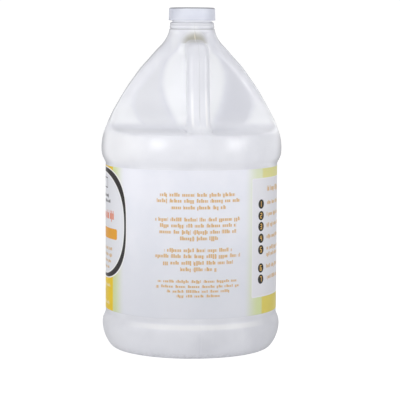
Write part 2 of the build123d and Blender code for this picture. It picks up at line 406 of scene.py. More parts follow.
# -------------------------------------------------------------- lathe helpers
class Shell:
    """Collects vertices and faces of one mesh."""

    def __init__(self):
        self.vertices, self.quads, self.triangles, self.count = [], [], [], 0

    def add(self, points):
        start = self.count
        self.vertices.append(np.asarray(points, float))
        self.count += len(points)
        return np.arange(start, self.count)

    def bridge(self, a, b):
        """Quads between two closed rings of the same count."""
        self.quads.append(np.stack([a, np.roll(a, -1), np.roll(b, -1), b], axis=1))

    def strip(self, a, b):
        """Quads between two open rows of the same count."""
        self.quads.append(np.stack([a[:-1], a[1:], b[1:], b[:-1]], axis=1))

    def fan(self, ring, z, flip=False):
        """Triangles from a ring to a centre on the axis."""
        centre = self.add([(0, 0, z)])[0]
        faces = np.stack([ring, np.roll(ring, -1), np.full(len(ring), centre)], axis=1)
        self.triangles.append(faces[:, ::-1] if flip else faces)

    def extend(self, last, rings):
        """Adds rings of points one after another, starting from the ring last."""
        for points in rings:
            ring = self.add(points)
            self.bridge(last, ring)
            last = ring
        return last

    def build(self, name):
        faces = [tuple(int(i) for i in face)
                 for block in self.quads + self.triangles for face in block]
        mesh = bpy.data.meshes.new(name)
        mesh.from_pydata((np.vstack(self.vertices) * MM).tolist(), [], faces)
        mesh.validate()
        mesh.update()
        piece = bpy.data.objects.new(name, mesh)
        bpy.context.scene.collection.objects.link(piece)
        work = bmesh.new()
        work.from_mesh(mesh)
        bmesh.ops.remove_doubles(work, verts=work.verts, dist=1e-7)
        bmesh.ops.recalc_face_normals(work, faces=work.faces)
        if work.calc_volume(signed=True) < 0:
            bmesh.ops.reverse_faces(work, faces=work.faces)
        work.to_mesh(mesh)
        work.free()
        mesh.polygons.foreach_set("use_smooth", [True] * len(mesh.polygons))
        return piece


def ring_at(angles, radius, z):
    radius = np.broadcast_to(np.asarray(radius, float), angles.shape)
    z = np.broadcast_to(np.asarray(z, float), angles.shape)
    return np.stack([radius * np.cos(angles), radius * np.sin(angles), z], axis=1)


def thread(angles, z, start_z, turns, crest, foot, height):
    """Height of a one-start right-hand thread over its root at each angle of one ring.

    crest and foot are half the thread's width at its top and at its root.
    """
    best = np.zeros_like(angles)
    base = np.mod(angles, TURN)
    end = turns * TURN
    for lap in range(3):
        along = base + TURN * lap
        away = np.abs(z - (start_z + THREAD_PITCH * along / TURN))
        rise = height * np.clip((foot - away) / (foot - crest), 0, 1)
        rise = rise * ease(along, 0.0, 0.4) * ease(end - along, 0.0, 0.4)
        best = np.maximum(best, np.where((along >= 0) & (along <= end), rise, 0))
    return best


def lathe(name, rings, first_z, last_z):
    """A closed turned piece, with fans at first_z and last_z over its end rings."""
    shell = Shell()
    first = shell.add(rings[0])
    shell.fan(first, first_z)
    shell.fan(shell.extend(first, rings[1:]), last_z)
    return shell.build(name)


# --------------------------------------------------------------- the jug mesh
def jug_skin(jug, grid, inset, rounds):
    """Adds one skin of the jug, inset mm inside the outer surface; gives its top ring."""
    outer = inset == 0

    def plain(points):
        return jug_field(*points.T, False) + inset

    def seamed(points):
        return jug_field(*points.T, True)

    points, quads, (cell_i, cell_j, cell_k) = surface_nets(grid + inset)
    top = cell_k == len(HEIGHTS) - 2
    low = cell_j == 0
    fixed = top | low
    points = settle(points, plain, 2, fixed)
    points = relax(points, quads, plain, rounds, fixed)
    if outer:
        points = settle(points, seamed, 3, fixed)
    # the join with the neck, and the round centre of the base, are exact rings
    top_z = 0.5 * (HEIGHTS[-1] + HEIGHTS[-2])
    top_r = np.interp(top_z, shoulder_curve[:, 1], shoulder_curve[:, 0]) - inset
    points[top] = ring_at(MID_ANGLES[cell_i[top]], top_r, top_z)
    low_r = 0.5 * (RADII[0] + RADII[1])
    points[low] = ring_at(MID_ANGLES[cell_i[low]], low_r, BASE_Z + inset)
    ids = jug.add(points)
    jug.quads.append(quads + ids[0])
    top_ring, low_ring = [ids[np.nonzero(mask)[0][np.argsort(cell_i[mask])]]
                          for mask in (top, low)]
    jug.fan(low_ring, BASE_Z + inset, flip=outer)
    return top_ring


def build_jug():
    angle, radius, z = np.meshgrid(ANGLES, RADII, HEIGHTS, indexing="ij")
    grid = jug_field((radius * np.cos(angle)).ravel(), (radius * np.sin(angle)).ravel(),
                     z.ravel(), False).reshape(angle.shape)
    jug = Shell()
    outer_top = jug_skin(jug, grid, 0.0, rounds=5)
    inner_top = jug_skin(jug, grid, WALL, rounds=2)
    rings = []
    for radius, z, seam in NECK:
        across = radius * np.cos(MID_ANGLES) / SEAM_WIDTH
        rings.append(ring_at(MID_ANGLES, radius + seam * SEAM_RISE_NECK * np.exp(-across ** 2), z))
    for z in np.arange(284.25, 293.4, THREAD_STEP):
        rise = thread(MID_ANGLES, z, NECK_THREAD_Z, turns=1.25, crest=0.5, foot=1.25, height=1.18)
        rings.append(ring_at(MID_ANGLES, 17.4 + rise, z))
    rings += [ring_at(MID_ANGLES, radius, z) for radius, z in LIP]
    jug.bridge(jug.extend(outer_top, rings), inner_top)
    return jug.build("jug_shell")


jug_shell = build_jug()

# ---------------------------------------------------------- the cap and liner
ROUND = TURN * np.arange(288) / 288
# Half a pitch sets the cap's thread between the turns of the neck's
CAP_PHASE = (CAP_THREAD_Z - NECK_THREAD_Z + THREAD_PITCH / 2) / THREAD_PITCH * 2 * math.pi
CAP_BORE = 18.95
# (radius, height from the cap's top): the ceiling inside
CAP_CEILING = [(3.0, -1.2), (10.0, -1.2), (17.6, -1.2), (18.35, -1.22), (18.75, -1.4),
               (18.93, -1.8)]
# (radius, height from the cap's base): round the rim and up the outside
CAP_SKIRT = [(18.97, 0.55), (19.1, 0.2), (19.35, 0.02), (19.6, 0), (19.95, 0), (20.15, 0.06),
             (20.27, 0.2), (CAP_R, 0.45), (20.29, 1.2), (20.24, 3.0), (20.18, 5.0),
             (20.12, 7.0), (20.07, 8.6)]
# (radius, height from the cap's top): over the edge and in to the centre
CAP_CROWN = [(20.04, -1.55), (19.98, -1.15), (19.84, -0.75), (19.6, -0.42), (19.25, -0.17),
             (18.8, -0.04), (18.3, 0), (17.8, -0.03), (17.4, -0.12), (17.0, -0.17),
             (14.0, -0.16), (9.0, -0.14), (4.5, -0.14), (2.6, -0.15), (2.2, -0.24),
             (1.5, -0.27), (0.8, -0.2), (0.45, -0.06)]
# (radius, height from the liner's base), then (radius, height from its top)
LINER_UNDER = [(3.0, 0.02), (14.6, 0.02), (15.2, 0.0), (17.0, 0.0), (17.9, 0.03),
               (18.12, 0.15), (LINER_R, 0.35)]
LINER_OVER = [(LINER_R, -0.35), (18.12, -0.15), (17.95, -0.03), (16.0, 0), (3.0, 0)]


def profile(table, base):
    return [ring_at(ROUND, radius, base + rise) for radius, rise in table]


rings = profile(CAP_CEILING, CAP_TOP)
for z in np.arange(CAP_TOP - 2.1, CAP_BASE + 0.75, -THREAD_STEP):
    rise = thread(ROUND - CAP_PHASE, z, CAP_THREAD_Z, turns=1.1, crest=0.42, foot=1.1, height=1.15)
    rings.append(ring_at(ROUND, CAP_BORE - rise, z))
rings += profile(CAP_SKIRT, CAP_BASE) + profile(CAP_CROWN, CAP_TOP)
cap_skin = lathe("cap_skin", rings, CAP_TOP - 1.2, CAP_TOP - 0.05)
liner_disc = lathe("liner_disc", profile(LINER_UNDER, LINER_BASE) + profile(LINER_OVER, LINER_TOP),
                   LINER_BASE + 0.02, LINER_TOP)

# ------------------------------------------------------------- the wrap label
FILM = 0.12                   # thickness
LAP_GAP = 0.01                # between the two layers
LAP = 11.0 / 75.0             # overlap, in radians


def build_label():
    """One strip of film that goes once round the panel and laps over itself behind."""
    rows = [LABEL_BASE, LABEL_BASE + 0.3, *np.linspace(LABEL_BASE + 4, LABEL_TOP - 4, 24),
            LABEL_TOP - 0.3, LABEL_TOP]
    along = np.concatenate([np.linspace(0, TURN - 0.06, 420),
                            np.linspace(TURN - 0.05, TURN + LAP, 34)])
    lift = (FILM + LAP_GAP) * ease(along, TURN - 0.05, TURN - 0.004)
    angles = math.pi / 2 - LAP / 2 + along
    label = Shell()
    outer, inner = [[label.add(ring_at(angles, LABEL_R - FILM + offset + lift, z)) for z in rows]
                    for offset in (FILM, 0.0)]
    for low, high in zip(outer[:-1], outer[1:]):
        label.strip(low, high)
    for low, high in zip(inner[:-1], inner[1:]):
        label.strip(high, low)
    label.strip(inner[0], outer[0])
    label.strip(outer[-1], inner[-1])
    for end in (0, -1):
        for k in range(len(rows) - 1):
            face = [outer[k][end], outer[k + 1][end], inner[k + 1][end], inner[k][end]]
            label.quads.append(np.array([face if end == -1 else face[::-1]]))
    return label.build("label_film")


label_film = build_label()


# ------------------------------------------------ painted glow and shade round the grip
def painted_glow_and_shade(x, y, z):
    """Painted light as a tone: -1 for painted shade on the pinched flanks to 1 for a painted glow
    on the wall behind the grip.

    It is not computed from the wall.
    """
    body = body_side(np.sqrt(x * x + y * y), z)
    wide = np.abs(x)
    flank, scoop = -flank_cut(x, y, z), -scoop_cut(y, z)
    grip, hole = grip_and_hole(y, z)
    tube = np.maximum(np.maximum(grip, -hole), wide - GRIP_HALF)
    root = ease(np.interp(z, [200, 225], [42, 32]) - np.clip(-y, 0, 91.9), 0.0, 6.0)
    inside = (y < 6) * ease(z, 193.0, 197.5) * np.maximum(ease(tube, 0.0, 0.7), root)
    # painted glow on the wall behind the grip, where the scoop cuts in
    lens_glow = ease(scoop - np.maximum(flank, body), -0.9, 0.9)
    # half width of the painted shade on the flanks at each height
    reach = np.interp(z, [193, 196, 201, 212, 222, 232, 242, 252, 260],
                      [40, 43.5, 48, 52.5, 50.5, 43.5, 35.5, 28, 21])
    # painted shade on the pinched flanks
    flank_shade = (ease(reach - wide, 0.0, 3.5) * (1 - lens_glow) * ease(z, 193.5, 200.0)
             * ease(wide, 10.5, 17.0))
    # painted light: a lighter strip along the outer edge of the flanks
    limb = ease(wide - reach, -1.0, 4.0) * ease(z, 194, 199) * (1 - ease(z, 208, 226)) * 0.55
    return (lens_glow + limb - flank_shade) * inside


# the painted glow and shade round the grip, stored as a point attribute on the jug
places = np.empty(len(jug_shell.data.vertices) * 3)
jug_shell.data.vertices.foreach_get("co", places)
places = places.reshape(-1, 3) / MM
attribute = jug_shell.data.attributes.new("painted_glow_and_shade", "FLOAT", "POINT")
attribute.data.foreach_set("value", painted_glow_and_shade(
    places[:, 0], places[:, 1], np.clip(places[:, 2], 0, 281.9)).astype(np.float32))

# (piece, body it rides on, CAD node it replaces, finish)
for piece, body, node, finish in (
        (jug_shell, "jug", "jug_body", "jug_plastic"),
        (label_film, "jug", "wrap_label", "label_film"),
        (liner_disc, "liner", "cap_liner", "liner_foam"),
        (cap_skin, "cap", "screw_cap", "cap_plastic")):
    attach(piece, body)
    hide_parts(node)


# --------------------------------------------------------------- node helpers
def srgb(red, green, blue):
    def linear(c):
        return c / 12.92 if c <= 0.04045 else ((c + 0.055) / 1.055) ** 2.4
    return (linear(red / 255.0), linear(green / 255.0), linear(blue / 255.0), 1.0)


class Net:
    """A node tree; put adds a node and gives one of its outputs as a Signal."""

    def __init__(self, tree):
        self.tree = tree

    def put(self, kind, inputs=None, out=0, **props):
        node = self.tree.nodes.new(kind)
        for key, value in props.items():
            setattr(node, key, value)
        for key, value in (inputs or {}).items():
            if isinstance(value, Signal):
                self.tree.links.new(value.socket, node.inputs[key])
            else:
                node.inputs[key].default_value = value
        return Signal(self, node.outputs[out])

    def math(self, operation, *values, clamp=False):
        return self.put("ShaderNodeMath", dict(enumerate(values)), operation=operation,
                        use_clamp=clamp)

    def most(self, items):
        """The largest of many signals, taken in pairs."""
        while len(items) > 1:
            items = [self.math("MAXIMUM", *items[i:i + 2]) if i + 1 < len(items) else items[i]
                     for i in range(0, len(items), 2)]
        return items[0]

    def facing(self):
        """0 where the surface faces the viewer, 1 at its edge."""
        return self.put("ShaderNodeLayerWeight", {"Blend": 0.5}, out="Facing")

    def normal(self):
        return self.put("ShaderNodeNewGeometry", out="Normal").split()

    def output(self, kind, signal):
        self.tree.links.new(signal.socket, self.tree.nodes.new(kind).inputs[0])

    def surface(self, colour, rough, height, strength, depth, ior, more=None):
        """Principled surface; strength and depth (mm) are those of the bump."""
        bump = self.put("ShaderNodeBump", {"Height": height, "Strength": strength,
                                           "Distance": depth * MM})
        inputs = {"Base Color": colour, "Roughness": rough, "IOR": ior, "Normal": bump}
        self.output("ShaderNodeOutputMaterial",
                    self.put("ShaderNodeBsdfPrincipled", {**inputs, **(more or {})}))


class Signal:
    """An output socket; arithmetic on it adds Math nodes to its tree."""

    def __init__(self, net, socket):
        self.net = net
        self.socket = socket

    def math(self, operation, *others, clamp=False):
        return self.net.math(operation, self, *others, clamp=clamp)

    def __add__(self, other):
        return self.math("ADD", other)

    def __sub__(self, other):
        return self.math("SUBTRACT", other)

    def __rsub__(self, other):
        return self.net.math("SUBTRACT", other, self)

    def __mul__(self, other):
        return self.math("MULTIPLY", other)

    def __truediv__(self, other):
        return self.math("DIVIDE", other)

    def __abs__(self):
        return self.math("ABSOLUTE")

    def linear(self, factor, offset, clamp=False):
        return self.math("MULTIPLY_ADD", factor, offset, clamp=clamp)

    def edge(self, soft):
        """1 where the signal is above 0, with a soft step as wide as soft."""
        return self.linear(1.0 / soft, 0.5, clamp=True)

    def ramp(self, start, end, low=0.0, high=1.0):
        """Smooth step from low where the signal is start to high where it is end."""
        return self.net.put("ShaderNodeMapRange", {0: self, 1: start, 2: end, 3: low, 4: high},
                            interpolation_type="SMOOTHSTEP")

    def band(self, rise, fall):
        """1 between two ramps, each given as (value at 0, value at 1)."""
        return self.ramp(*rise) * self.ramp(*fall)

    def mix(self, low, high):
        """Colour between low and high."""
        return self.net.put("ShaderNodeMix", {0: self, 6: low, 7: high}, out=2, data_type="RGBA")

    def blend(self, low, high):
        """Number between low and high."""
        return self.net.put("ShaderNodeMix", {0: self, 2: low, 3: high}, data_type="FLOAT")

    def paint(self, mask, colour, amount=None):
        """This colour with another laid over it where mask is 1."""
        if amount is not None:
            mask = mask * amount
        return mask.mix(self, colour)

    def noise(self, scale=1.0, detail=3.0, rough=0.55):
        return self.net.put("ShaderNodeTexNoise", {"Vector": self, "Scale": scale,
                                                   "Detail": detail, "Roughness": rough})

    def stretch(self, x, y, z):
        return self.net.put("ShaderNodeMapping", {"Vector": self, "Scale": (x, y, z)})

    def scale(self, factor):
        return self.net.put("ShaderNodeVectorMath", {0: self, 3: factor}, operation="SCALE")

    def split(self):
        """The x, y and z of a vector."""
        first = self.net.put("ShaderNodeSeparateXYZ", {0: self})
        return [Signal(self.net, socket) for socket in first.socket.node.outputs]


def empty_net(owner):
    owner.use_nodes = True
    owner.node_tree.nodes.clear()
    return Net(owner.node_tree)


def material(piece, name):
    """Gives a piece its only material; returns the empty net."""
    made = bpy.data.materials.new(name)
    piece.data.materials.clear()
    piece.data.materials.append(made)
    return empty_net(made)


def object_mm(net):
    return net.put("ShaderNodeTexCoord", out="Object").scale(1000.0)


# ----------------------------------------------------------- blow-moulded jug
def jug_plastic():
    net = material(jug_shell, "jug_plastic")
    mm = object_mm(net)
    x, y, z = mm.split()
    cloud = mm.noise(0.022)
    grain = mm.noise(0.9, detail=2.0)
    flow = mm.stretch(0.09, 0.09, 0.018).noise(detail=4.0)
    tone = cloud.ramp(0.35, 0.72).mix(srgb(238, 239, 245), srgb(226, 227, 234))
    tone = tone.paint(flow.ramp(0.58, 0.80, high=0.35), srgb(244, 245, 249))
    # scuffs where the jug stands and round the shoulder bead
    rub = mm.stretch(0.35, 0.35, 1.7).noise(detail=5.0, rough=0.7)
    foot = z.ramp(7.0, 0.5) * rub.ramp(0.42, 0.66)
    bead = z.band(rise=(166.0, 178.0), fall=(196.0, 184.0)) * rub.ramp(0.60, 0.76)
    wear = foot.math("ADD", bead * 0.35, clamp=True)
    tone = tone.paint(wear, srgb(176, 176, 178), amount=0.55)
    scratch = mm.stretch(0.05, 0.05, 1.9).noise(rough=0.6).ramp(0.70, 0.74)
    # output 2 is the attribute as one number
    glow_and_shade = net.put("ShaderNodeAttribute", out=2, attribute_name="painted_glow_and_shade",
                    attribute_type="GEOMETRY")
    # painted shade on the flanks, darker towards +X, then a painted glow on the wall behind the
    # grip
    flank_shade = x.ramp(-5.0, 5.0).mix(srgb(234, 235, 240), srgb(226, 227, 234))
    tone = tone.paint(glow_and_shade.math("MULTIPLY", -1.0, clamp=True), flank_shade)
    tone = tone.paint(glow_and_shade.math("MULTIPLY", 1.0, clamp=True), srgb(250, 251, 253))
    sideways, _, upward = net.normal()
    # painted shade: a beige arch where the grip runs into the neck, strongest at its foot, fading
    # outwards
    drop = (z - 266.0) * 1.12
    arch = (x * x + drop * drop).math("SQRT")
    saddle = z.ramp(265.2, 265.9) * y.band(rise=(-41.0, -34.0), fall=(-14.0, -17.0))
    tone = tone.paint(saddle, srgb(196, 196, 197), amount=arch.ramp(14.2, 7.0, high=0.75))
    saddle = saddle * arch.ramp(11.8, 4.5)
    tone = tone.paint(saddle, srgb(172, 169, 153), amount=0.92)
    # painted highlight along the parting line across the arch
    tone = tone.paint(saddle, srgb(255, 246, 222), amount=abs(x).ramp(0.50, 0.25))
    # neck ring: painted shade as a darker band above, and as a line in the groove under it
    ring = z.band(rise=(280.2, 280.9), fall=(283.9, 283.4))
    tone = tone.paint(ring, srgb(208, 209, 216), amount=0.55)
    groove = z.band(rise=(276.9, 277.4), fall=(278.3, 277.9))
    tone = tone.paint(groove, srgb(150, 150, 154), amount=0.45)
    # painted shade in the ledge at the foot of the grip, greyer to the left (-X)
    ledge = (z.band(rise=(190.0, 191.2), fall=(194.0, 192.2))
             * (y.ramp(-12.0, -18.0) * upward.ramp(0.35, 0.75)))
    tone = tone.paint(ledge, srgb(214, 215, 220), amount=x.ramp(12.0, -14.0, low=0.12, high=0.42))
    # painted light on the left side of the shoulder, where it faces -X
    limb = z.band(rise=(161.0, 166.0), fall=(196.0, 186.0)) * sideways.ramp(-0.45, -0.85)
    tone = tone.paint(limb, srgb(253, 253, 255), amount=0.55)
    # painted shade along the parting line down the grip, faintly grey
    seam_shade = abs(x).ramp(0.50, 0.20) * (z.ramp(196.0, 206.0) * y.ramp(-18.0, -22.0))
    tone = tone.paint(seam_shade, srgb(176, 176, 178), amount=0.34)
    # painted highlight: a bright arc on the shoulder of the foot, in front
    arc = z.band(rise=(25.0, 27.2), fall=(31.0, 29.2)) * y.ramp(-44.0, -70.0)
    tone = tone.paint(arc, srgb(255, 255, 255), amount=0.55)
    # painted highlights: two bright stripes down the rounded corners of the grip
    stripe = abs(abs(x) - 5.9).ramp(1.5, 0.4)
    stripe = stripe * (z.band(rise=(193.0, 200.0), fall=(232.0, 222.0)) * y.ramp(-46.0, -50.0))
    tone = tone.paint(stripe, srgb(254, 254, 255), amount=0.75)
    # painted shade: grey towards the top of the grip
    on_grip = y.ramp(-24.0, -28.0) * abs(x).ramp(14.0, 11.5) * z.ramp(190.0, 194.0)
    tone = tone.paint(on_grip * abs(x).ramp(10.4, 8.6), srgb(218, 219, 226),
                      amount=z.ramp(208.0, 236.0, high=0.70))
    # painted shade towards the edge of the view, away from the grip and its ledge; more on the
    # steep neck and at the foot
    facing = net.facing()
    steep = z.ramp(222.0, 262.0).math("ADD", z.ramp(48.0, 30.0, high=0.6), clamp=True)
    by_grip = y.ramp(-10.0, -13.0) * abs(x).ramp(16.0, 12.5) * z.ramp(190.0, 194.0)
    by_ledge = z.band(rise=(184.0, 187.0), fall=(200.0, 196.0)) * upward.ramp(0.20, 0.50)
    plain = 1.0 - by_grip.math("MAXIMUM", by_ledge)
    tone = tone.paint(facing.ramp(0.22, 0.90) * (steep * plain * 0.55), srgb(196, 197, 204))
    # painted shade: a dark outline along the silhouette
    rim = facing.ramp(0.60, 0.92) * z.ramp(24.0, 60.0, low=0.3) * plain
    tone = tone.paint(rim, srgb(146, 147, 154), amount=0.62)
    sheen = facing.ramp(0.50, 0.90) * plain
    rough = cloud.ramp(0.3, 0.7, low=0.275, high=0.325) + wear * 0.16 + scratch * 0.07
    peel = grain * 0.35 + mm.noise(0.16, detail=2.0) * 0.65 - scratch * 0.10
    # painted light: a light tone and a weak glow on the collar under the cap, for light through the
    # thin neck
    glow = z.band(rise=(283.5, 284.2), fall=(287.0, 285.8))
    tone = tone.paint(glow, srgb(242, 243, 248))
    net.surface(tone, rough, peel, strength=0.12, depth=0.25, ior=1.52,
                more={"Specular IOR Level": 0.5 - sheen * 0.45,
                      "Emission Color": (0.93, 0.95, 1.0, 1.0),
                      "Emission Strength": glow * 0.05})


# -------------------------------------------------------- screw cap and liner
def cap_plastic():
    net = material(cap_skin, "cap_plastic")
    mm = object_mm(net)
    x, y, z = mm.split()
    cloud = mm.noise(0.05)
    grain = mm.noise(2.2, detail=2.0)
    radius = (x * x + y * y).math("SQRT")
    tone = cloud.ramp(0.35, 0.7).mix(srgb(226, 229, 240), srgb(217, 220, 233))
    _, _, upward = net.normal()
    # painted shade: greyer on the sides, and to the left (-X)
    tone = tone.paint(net.facing().ramp(0.08, 0.85), srgb(184, 186, 200),
                      amount=upward.ramp(0.9, 0.5, high=0.50))
    tone = tone.paint(x.ramp(6.0, -16.0, high=0.30), srgb(196, 198, 208))
    # painted shade as a dark line round the top edge, and wear there
    brink = z.ramp(295.0, 295.7) * radius.ramp(18.3, 18.9)
    tone = tone.paint(brink, srgb(112, 112, 118), amount=0.80)
    worn = (z.ramp(295.0, 296.2)
            * (radius.ramp(18.4, 19.2) * mm.noise(0.5, detail=4.0).ramp(0.50, 0.66)))
    tone = tone.paint(worn, srgb(176, 178, 184), amount=0.5)
    swirl = net.put("ShaderNodeCombineXYZ", {0: radius * 1.4, 1: z * 1.4, 2: 0.0}).noise()
    rough = grain.ramp(0.3, 0.7, low=0.38, high=0.46) + worn * 0.15
    net.surface(tone, rough, grain * 0.7 + swirl * 0.3, strength=0.35, depth=0.12, ior=1.49)


def liner_foam():
    net = material(liner_disc, "liner_foam")
    mm = object_mm(net)
    pores = net.put("ShaderNodeTexVoronoi", {"Vector": mm, "Scale": 2.4}, feature="F1")
    cloud = mm.noise(0.12)
    tone = cloud.ramp(0.35, 0.65).mix(srgb(236, 235, 230), srgb(224, 222, 214))
    tone = tone.paint(pores.ramp(0.22, 0.05, high=0.30), srgb(188, 184, 174))
    net.surface(tone, cloud.ramp(0.3, 0.7, low=0.72, high=0.86), pores,
                strength=0.6, depth=0.15, ior=1.45)


# --------------------------------------------------------- printed wrap label
# u is the arc length in mm round the label from the front (-Y) towards +X, z the height.
PRINT_R = 75.15
PANEL_U = 118.0               # the panels' middles are at -PANEL_U (left) and +PANEL_U (right)
WORD = 10.5                   # mean spacing of words
GLYPH = 1.75                  # mean spacing of letters
PAPER = srgb(243, 244, 252)
YELLOW = srgb(248, 210, 4)
PALE = srgb(216, 228, 150)
ORANGE = srgb(222, 182, 122)
INK = srgb(38, 32, 32)
WHITE = srgb(252, 252, 252)

# Lines of print: (u from, u to, z, half height, seed)
LEFT_DARK = [(-140.0, -96.0, 129.6, 1.8, 61.0), (-134.0, -102.0, 134.4, 1.8, 17.0)]
LEFT_TEXT = [(-148.0, -93.0, 88.6, 1.7, 5.0), (-144.0, -93.6, 83.2, 1.7, 29.0),
             (-142.0, -96.0, 77.9, 1.7, 41.0), (-136.0, -100.0, 72.4, 1.5, 53.0)]
LEFT_LIGHT = [(-142.0, -96.0, 56.6, 1.9, 83.0), (-138.0, -99.0, 41.2, 1.7, 97.0)]
RIGHT_EXTRA = [(69.5, 128.0, 85.6, 2.2, 131.0), (69.8, 132.0, 142.1, 2.9, 71.0)]
# Paragraphs between the panels: (u from, u to, z)
TEXT = [(-35.1, 31.3, 139.6), (-38.3, 34.9, 134.6), (-25.9, 21.4, 129.0), (-39.5, 35.0, 118.9),
        (-35.0, 31.5, 113.8), (-35.7, 31.6, 108.5), (-19.2, 14.6, 103.1), (-31.0, 27.5, 93.1),
        (-39.4, 35.5, 88.1), (-32.2, 28.4, 82.5), (-17.7, 13.6, 77.1)]
SMALL = [(-36.8, 33.4, 66.9), (-38.4, 34.5, 62.6), (-28.9, 25.2, 58.5), (-20.5, 16.8, 54.6)]
# Numbered directions: (z of the spot, u where its line ends, segments of its digit)
STEPS = [(129.8, 160.0, "bc"), (119.9, 152.0, "abged"), (110.6, 166.0, "abgcd"),
         (100.5, 157.0, "fgbc"), (90.7, 169.0, "afgcd"), (75.0, 163.0, "afgedc"),
         (65.4, 149.0, "abc")]
SPOT_U = 60.8
# Seven-segment digit: (u, z, half width, half height) from the spot's middle
SEGMENTS = {"a": (0, 2.0, 1.15, 0.35), "g": (0, 0, 1.15, 0.35), "d": (0, -2.0, 1.15, 0.35),
            "b": (1.0, 1.0, 0.38, 1.3), "c": (1.0, -1.0, 0.38, 1.3),
            "f": (-1.0, 1.0, 0.38, 1.3), "e": (-1.0, -1.0, 0.38, 1.3)}


def ink_group(name, inputs):
    """An empty node group with a Mask output: its net and its input signals."""
    tree = bpy.data.node_groups.new(name, "ShaderNodeTree")
    for label in inputs:
        tree.interface.new_socket(name=label, in_out="INPUT", socket_type="NodeSocketFloat")
    tree.interface.new_socket(name="Mask", in_out="OUTPUT", socket_type="NodeSocketFloat")
    net = Net(tree)
    sockets = tree.nodes.new("NodeGroupInput").outputs
    return net, [Signal(net, sockets[k]) for k in range(len(inputs))]


def ink_box():
    """A box with rounded corners."""
    net, signals = ink_group("ink_box", ("U", "Z", "cu", "cz", "hu", "hz", "r"))
    u, z, mid_u, mid_z, half_u, half_z, corner = signals
    out_u = (abs(u - mid_u) - (half_u - corner)).math("MAXIMUM", 0.0)
    out_z = (abs(z - mid_z) - (half_z - corner)).math("MAXIMUM", 0.0)
    distance = (out_u * out_u + out_z * out_z).math("SQRT")
    net.output("NodeGroupOutput", (corner - distance).edge(0.16))
    return net.tree


def ink_line():
    """Made-up text: word-long runs of small blocks of uneven height, which spell nothing."""
    net, signals = ink_group("ink_line", ("U", "Z", "cu", "cz", "hu", "hz", "seed"))
    u, z, mid_u, mid_z, half_u, half_z, seed = signals
    along = u + seed
    span = (half_u - abs(u - mid_u)).edge(0.25)
    word = net.put("ShaderNodeTexVoronoi", {"W": along, "Scale": 1.0 / WORD, "Randomness": 0.75},
                   voronoi_dimensions="1D", feature="DISTANCE_TO_EDGE")
    word = word.linear(WORD / 0.3, -0.75 / 0.3, clamp=True)
    glyph = net.put("ShaderNodeTexVoronoi", {"W": along + seed * 3.3, "Scale": 1.0 / GLYPH,
                                             "Randomness": 0.45},
                    out="Distance", voronoi_dimensions="1D", feature="F1")
    stroke = glyph.linear(-GLYPH / 0.25, 0.66 / 0.25, clamp=True)
    # the letter's random colour says whether it rises above or drops below the line
    colour = Signal(net, glyph.socket.node.outputs["Color"])
    parts = net.put("ShaderNodeSeparateColor", {0: colour}).socket.node.outputs
    rises = Signal(net, parts[0]).math("GREATER_THAN", 0.62)
    drops = Signal(net, parts[1]).math("GREATER_THAN", 0.82)
    level = (z - mid_z) / half_z
    top = rises.linear(0.45, 0.52)
    low = drops.linear(0.42, 0.55)
    tall = (top - level).edge(0.12) * (low + level).edge(0.12)
    net.output("NodeGroupOutput", span * word * (stroke.linear(0.62, 0.38) * tall))
    return net.tree


